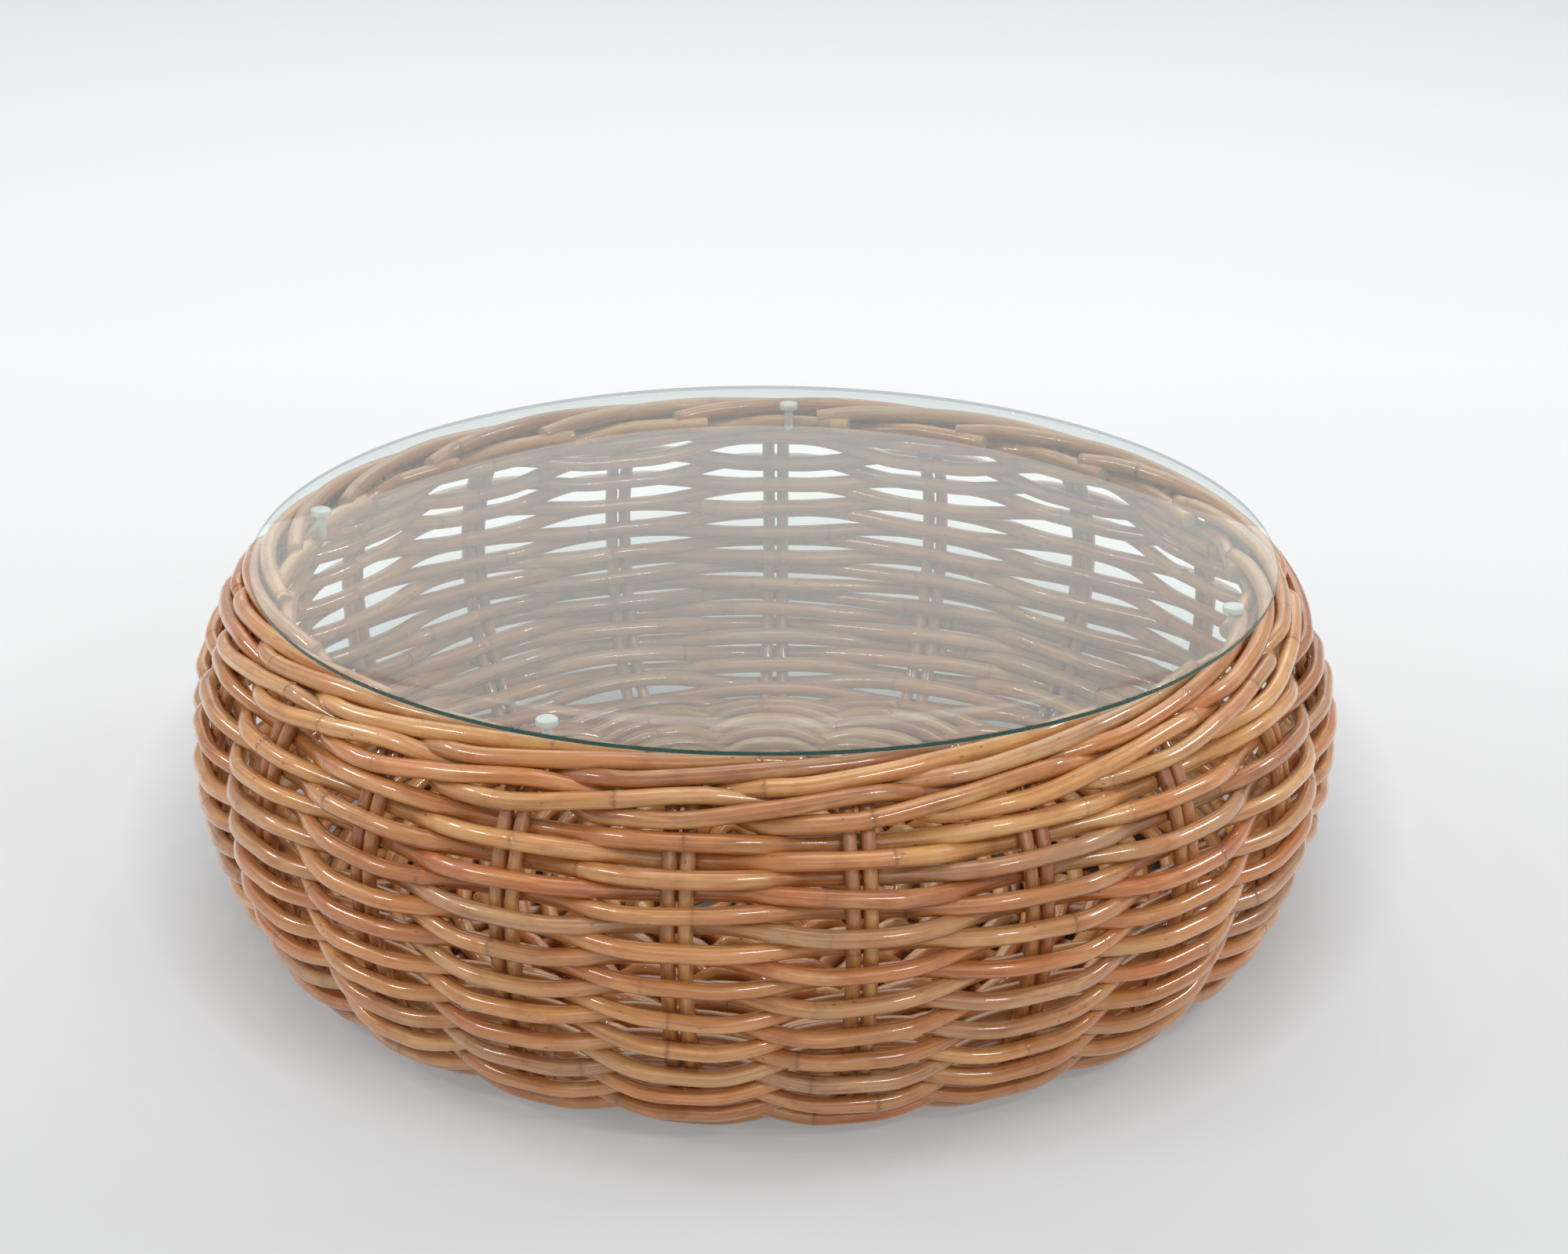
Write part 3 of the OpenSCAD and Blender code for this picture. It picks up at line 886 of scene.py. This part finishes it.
plastic = clear_plastic()
for spot in ("front", "right", "back", "left"):
    low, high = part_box(f"bumper_{spot}")
    head_r = (high.x - low.x) / 2
    height = high.z - low.z
    stem_r = STEM_D / 2
    neck = height - HEAD_T
    shank_r = stem_r - RIB_DEPTH
    ribs = []
    for level in RIB_LEVELS:
        ribs += [(shank_r, level), (stem_r, level + RIB_T)]
    under_r, over_r = HEAD_EDGE_R
    profile = (
        [(0, 0), (stem_r * TIP_FLAT, 0), (stem_r - TIP_INSET, TIP_T)]
        + ribs
        + [(shank_r, SHANK_FROM), (shank_r, neck)]
        + rounded(head_r - under_r, neck + under_r, under_r, -90, 0)
        + rounded(head_r - over_r, height - over_r, over_r, 0, 90)
        + [(head_r * SHOULDER, height - SHOULDER_DEPTH), (0, height - HEAD_DISH)]
    )
    stud = lathe(f"stud_{spot}", profile, STUD_SEGMENTS, [plastic], lambda k: 0)
    stud.location = ((low.x + high.x) / 2, (low.y + high.y) / 2, low.z)
    finish_piece(stud, "basket", "bumper", f"bumper_{spot}")


# ---------------------------------------------------------------- floor, light and camera

FLOOR_HALF = 14


def floor_plane():
    half = FLOOR_HALF
    mesh = bpy.data.meshes.new("floor")
    corners = [(-half, -half, 0), (half, -half, 0), (half, half, 0), (-half, half, 0)]
    mesh.from_pydata(corners, [], [(0, 1, 2, 3)])
    mesh.materials.append(painted_light_and_shade_floor())
    floor = bpy.data.objects.new("floor", mesh)
    bpy.context.scene.collection.objects.link(floor)


def soft_light(name, location, target, width, depth, power):
    lamp = bpy.data.lights.new(name, "AREA")
    lamp.shape = "RECTANGLE"
    lamp.size = width
    lamp.size_y = depth
    lamp.energy = power
    light = bpy.data.objects.new(name, lamp)
    light.location = location
    light.rotation_mode = "QUATERNION"
    light.rotation_quaternion = (Vector(target) - Vector(location)).to_track_quat("-Z", "Y")
    bpy.context.scene.collection.objects.link(light)


floor_plane()
MIDDLE = (0, 0, 0.2)
soft_light("overhead", (0, 2.8, 3.4), (0, 2.5, 0), 5.0, 3.2, 50)
soft_light("top_box", (0, -0.2, 2.7), (0, 0, 0), 1.8, 1.2, 14)
soft_light("back_box", (0, 3.1, 2.05), MIDDLE, 3.4, 1.6, 13)
soft_light("front_box", (0, -3.6, 1.7), MIDDLE, 3.0, 1.4, 12)
LAMP_R = 2.8
LAMP_Z = 2.2
LAMP_SIZE = (0.85, 0.2)
for side, turn, power in (("left", -66, 18), ("middle", 33, 21), ("right", 98, 26), ("far", -100, 18)):
    angle = math.radians(turn)
    lamp_at = (LAMP_R * math.sin(angle), -LAMP_R * math.cos(angle), LAMP_Z)
    soft_light(f"{side}_lamp", lamp_at, MIDDLE, *LAMP_SIZE, power)

AROUND_COLOUR = (0.97, 0.98, 1.0, 1)
AROUND_LIGHT = 0.49
world = bpy.data.worlds.new("studio")
bpy.context.scene.world = world
world.use_nodes = True
surroundings = world.node_tree.nodes["Background"].inputs
surroundings["Color"].default_value = AROUND_COLOUR
surroundings["Strength"].default_value = AROUND_LIGHT
bpy.context.scene.view_settings.view_transform = "Standard"

CAMERA_AT = (0.0175, -2.917, 1.4436)
CAMERA_DOWN = math.radians(21.95)
CAMERA_ROLL = math.radians(0.25)
CAMERA_LENS_MM = 82.85
CAMERA_SENSOR_MM = 36
camera = bpy.data.objects.new("camera", bpy.data.cameras.new("camera"))
camera.data.lens = CAMERA_LENS_MM
camera.data.sensor_width = CAMERA_SENSOR_MM
camera.location = CAMERA_AT
camera.rotation_mode = "QUATERNION"
looking = Vector((0, math.cos(CAMERA_DOWN), -math.sin(CAMERA_DOWN))).to_track_quat("-Z", "Y")
camera.rotation_quaternion = looking @ Quaternion((0, 0, 1), CAMERA_ROLL)
bpy.context.scene.collection.objects.link(camera)
bpy.context.scene.camera = camera
